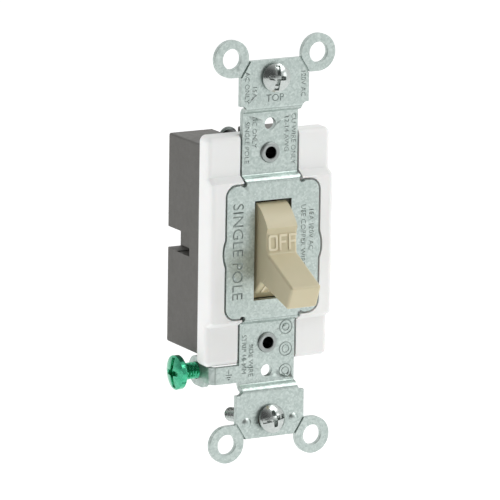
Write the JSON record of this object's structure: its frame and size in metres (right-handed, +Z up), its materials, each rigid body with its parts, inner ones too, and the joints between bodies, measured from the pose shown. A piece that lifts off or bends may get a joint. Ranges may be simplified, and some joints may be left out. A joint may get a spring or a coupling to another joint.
{
  "type": "toggle wall switch",
  "caption": "Toggle wall switch on a plated steel mounting strap, with a cover, rear body, working toggle, snap contacts, box screws and ground screw.",
  "frame": {"origin": "middle of the mounting strap on the plane of its front face, which is the centre of its four ear holes", "axes": "+X to the right as seen from the room, +Y into the wall, +Z up; the toggle is in its OFF position, lever down"},
  "size_m": [0.0397, 0.0399, 0.1028],
  "materials": {
    "galvanised_steel": "zinc plated, satin with fine mottling",
    "white_plastic": "smooth satin moulding",
    "dark_plastic": "fine matte moulding",
    "ivory_plastic": "satin moulding",
    "bright_zinc": "bright zinc plate",
    "green_screw": "green dyed plating",
    "brass": "brushed brass",
    "contact_silver": "silver alloy",
    "spring_steel": "bright drawn wire and strip",
    "red_fibre": "vulcanised fibre",
    "black_rubber": "soft rubber"
  },
  "bodies": {
    "frame": {"mounting_strap": "galvanised_steel", "front_cover": "white_plastic", "rear_housing": "dark_plastic", "detent_track": "spring_steel", "toggle_bumpers": "black_rubber", "fixed_contact": "contact_silver", "arm_pivot_pin": "spring_steel", "line_terminal": "brass", "load_terminal": "brass", "arc_barrier": "red_fibre", "strap_rivets": "bright_zinc", "contact_spring": "spring_steel"},
    "toggle": {"toggle": "ivory_plastic", "toggle_spring": "spring_steel"},
    "plunger": {"detent_plunger": "spring_steel"},
    "contact_arm": {"contact_arm": "brass", "moving_contact": "contact_silver"},
    "line_clamp": {"line_clamp_plate": "spring_steel"},
    "load_clamp": {"load_clamp_plate": "spring_steel"},
    "line_screw": {"line_terminal_screw": "brass"},
    "load_screw": {"load_terminal_screw": "brass"},
    "ground_screw": {"ground_screw": "green_screw"},
    "upper_screw_holder": {"upper_screw_washer": "red_fibre"},
    "lower_screw_holder": {"lower_screw_washer": "red_fibre"},
    "upper_screw": {"upper_box_screw": "bright_zinc"},
    "lower_screw": {"lower_box_screw": "bright_zinc"}
  },
  "joints": [
    {"name": "toggle_tilt", "type": "hinge", "parent": "frame", "child": "toggle", "pos_m": [0, 0.0063, 0], "axis": [-1, 0, 0], "range_deg": [0, 43]},
    {"name": "plunger_slide", "type": "slide", "parent": "toggle", "child": "plunger", "axis": [0, 0.9304, 0.3665], "range_m": [-0.0008, 0], "stiffness_N_per_m": 400, "springref_m": 0.001, "deforming": ["toggle_spring"]},
    {"name": "arm_swing", "type": "hinge", "parent": "frame", "child": "contact_arm", "pos_m": [0.0066, 0.01335, -0.0155], "axis": [1, 0, 0], "range_deg": [0, 6.14], "deforming": ["contact_spring"]},
    {"name": "line_clamp_slide", "type": "slide", "parent": "frame", "child": "line_clamp", "axis": [1, 0, 0], "range_m": [-0.0021, 0]},
    {"name": "load_clamp_slide", "type": "slide", "parent": "frame", "child": "load_clamp", "axis": [1, 0, 0], "range_m": [-0.0021, 0]},
    {"name": "line_screw_turn", "type": "hinge", "parent": "line_clamp", "child": "line_screw", "pos_m": [0.015, 0.014, -0.012], "axis": [1, 0, 0], "continuous": true},
    {"name": "load_screw_turn", "type": "hinge", "parent": "load_clamp", "child": "load_screw", "pos_m": [0.015, 0.014, 0.012], "axis": [1, 0, 0], "continuous": true},
    {"name": "ground_screw_turn", "type": "hinge", "parent": "frame", "child": "ground_screw", "pos_m": [-0.0145, 0.0098, -0.0302], "axis": [-1, 0, 0], "continuous": true},
    {"name": "upper_screw_tilt", "type": "hinge", "parent": "frame", "child": "upper_screw_holder", "pos_m": [0, 0.00065, 0.04165], "axis": [0.4091, 0, 0.9125], "range_deg": [0, 12.07]},
    {"name": "lower_screw_tilt", "type": "hinge", "parent": "frame", "child": "lower_screw_holder", "pos_m": [0, 0.00065, -0.04165], "axis": [1, 0, 0], "range_deg": [0, 10]},
    {"name": "upper_screw_turn", "type": "hinge", "parent": "upper_screw_holder", "child": "upper_screw", "pos_m": [0, 0.00065, 0.04165], "axis": [0.1908, 0.9779, -0.0856], "continuous": true},
    {"name": "lower_screw_turn", "type": "hinge", "parent": "lower_screw_holder", "child": "lower_screw", "pos_m": [0, 0.00065, -0.04165], "axis": [0, 0.9848, -0.1736], "continuous": true}
  ],
  "couplings": [
    {"joint": "arm_swing", "follows": "toggle_tilt", "ratio": 0.14279}
  ]
}
